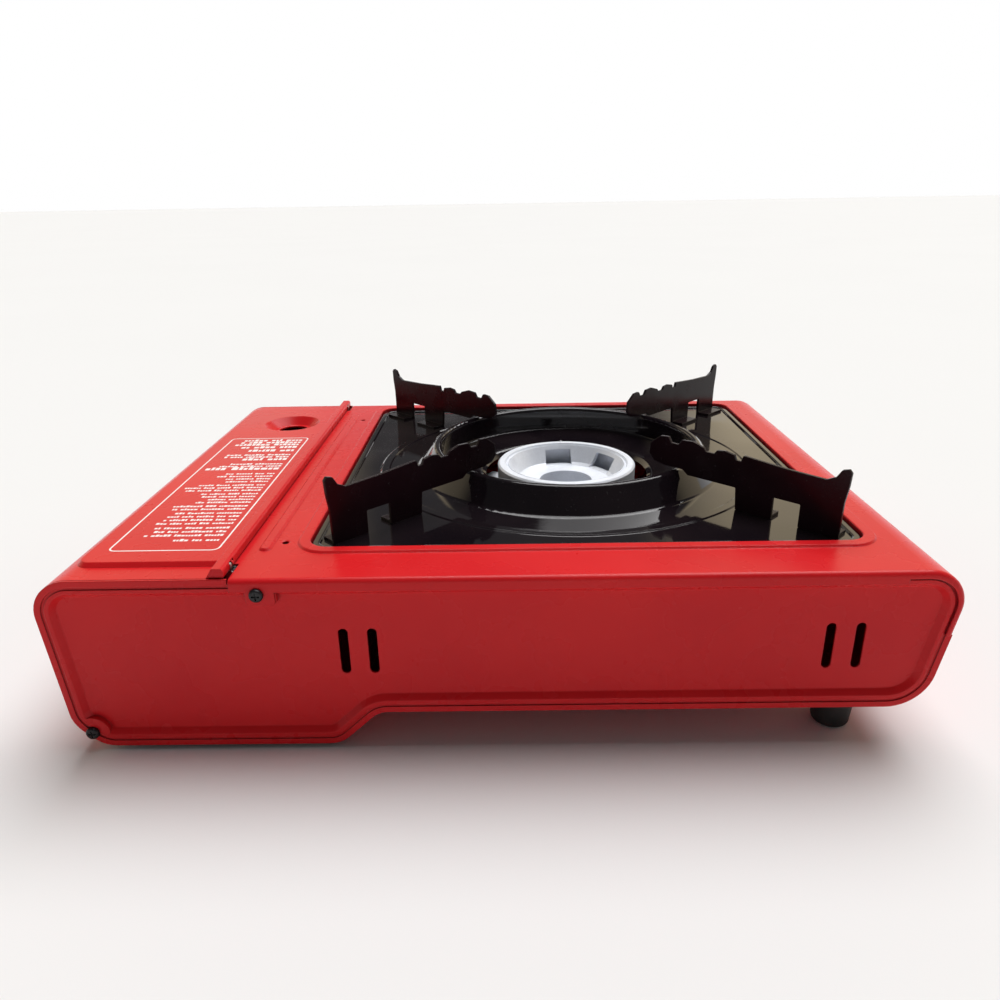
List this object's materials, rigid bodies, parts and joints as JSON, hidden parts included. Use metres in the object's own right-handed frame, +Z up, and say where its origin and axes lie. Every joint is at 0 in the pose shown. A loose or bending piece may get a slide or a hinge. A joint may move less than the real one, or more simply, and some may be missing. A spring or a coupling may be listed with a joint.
{
  "type": "portable gas camping stove",
  "caption": "Portable single-burner gas stove: pressed steel body, hinged cartridge-bay lid, lift-off black drip tray with notched pan supports, control knob and cartridge lock lever.",
  "frame": {"origin": "middle of the footprint on the surface the feet stand on", "axes": "+Z up, the control knob faces -Y, the cartridge bay is at +X"},
  "size_m": [0.34, 0.2744, 0.1019],
  "materials": {
    "red_enamel": "glossy baked red enamel",
    "black_enamel": "glossy black vitreous enamel",
    "black_steel": "satin black enamel",
    "cast_aluminium": "fine cast, lightly blasted",
    "zinc_steel": "bright zinc-plated sheet",
    "screw_black": "black oxide",
    "foot_rubber": "matte black rubber",
    "knob_plastic": "fine-textured black plastic",
    "dial_print": "satin sheet with printed wedge mark",
    "brass": "turned",
    "spring_steel": "drawn wire",
    "seal_rubber": "black nitrile",
    "ceramic": "glazed white ceramic",
    "lead_jacket": "silicone jacket",
    "igniter_plastic": "moulded black plastic"
  },
  "bodies": {
    "body": {"bottom_shell": "red_enamel", "rear_panel": "red_enamel", "front_panel": "red_enamel", "top_plate": "red_enamel", "hinge_ears": "zinc_steel", "hinge_pins": "zinc_steel", "partition": "zinc_steel", "cartridge_cradle": "zinc_steel", "slider_guides": "zinc_steel", "slider_spring": "spring_steel", "lever_pin": "zinc_steel", "regulator_body": "cast_aluminium", "regulator_bracket": "zinc_steel", "regulator_screws": "zinc_steel", "regulator_diaphragm": "seal_rubber", "regulator_cover": "zinc_steel", "regulator_spring": "spring_steel", "inlet_seal": "seal_rubber", "inlet_flange": "zinc_steel", "dial_plate": "dial_print", "igniter_body": "igniter_plastic", "igniter_lead": "lead_jacket", "electrode_bracket": "zinc_steel", "electrode_insulator": "ceramic", "electrode_tip": "spring_steel", "jet": "brass", "mixing_tube": "zinc_steel", "burner_body": "cast_aluminium", "burner_ring": "cast_aluminium", "burner_bracket": "zinc_steel", "burner_screws": "zinc_steel", "heat_plate": "zinc_steel", "tall_feet": "foot_rubber", "foot_screws": "zinc_steel", "low_pads": "foot_rubber", "panel_screws": "screw_black"},
    "lid": {"lid": "red_enamel"},
    "knob": {"knob": "knob_plastic", "valve_spindle": "brass", "knob_cam": "igniter_plastic"},
    "igniter_plunger": {"igniter_plunger": "igniter_plastic"},
    "lock_lever": {"lock_lever": "zinc_steel", "lever_cap": "knob_plastic"},
    "cartridge_slider": {"cartridge_slider": "zinc_steel"},
    "tray": {"drip_tray": "black_enamel", "pan_arm_1": "black_steel", "pan_arm_2": "black_steel", "pan_arm_3": "black_steel", "pan_arm_4": "black_steel"}
  },
  "joints": [
    {"name": "lid_hinge", "type": "hinge", "parent": "body", "child": "lid", "pos_m": [0.09945, 0, 0.07575], "axis": [0, -1, 0], "range_deg": [0, 92]},
    {"name": "knob_turn", "type": "hinge", "parent": "body", "child": "knob", "pos_m": [0.129, -0.1152, 0.0395], "axis": [0, -1, 0], "range_deg": [0, 110]},
    {"name": "igniter_press", "type": "slide", "parent": "body", "child": "igniter_plunger", "axis": [0, 1, 0], "range_m": [0, 0.004]},
    {"name": "lock_lever_turn", "type": "hinge", "parent": "body", "child": "lock_lever", "pos_m": [0.1, -0.0852, 0.02], "axis": [1, 0, 0], "range_deg": [0, 24]},
    {"name": "slider_move", "type": "slide", "parent": "body", "child": "cartridge_slider", "axis": [0, -1, 0], "range_m": [0, 0.0066], "deforming": ["slider_spring"]},
    {"name": "tray_lift", "type": "slide", "parent": "body", "child": "tray", "axis": [0, 0, 1], "range_m": [0, 0.08]}
  ],
  "couplings": [
    {"joint": "igniter_press", "follows": "knob_turn", "m_per_rad": 0.0020835},
    {"joint": "slider_move", "follows": "lock_lever_turn", "m_per_rad": 0.0155}
  ]
}
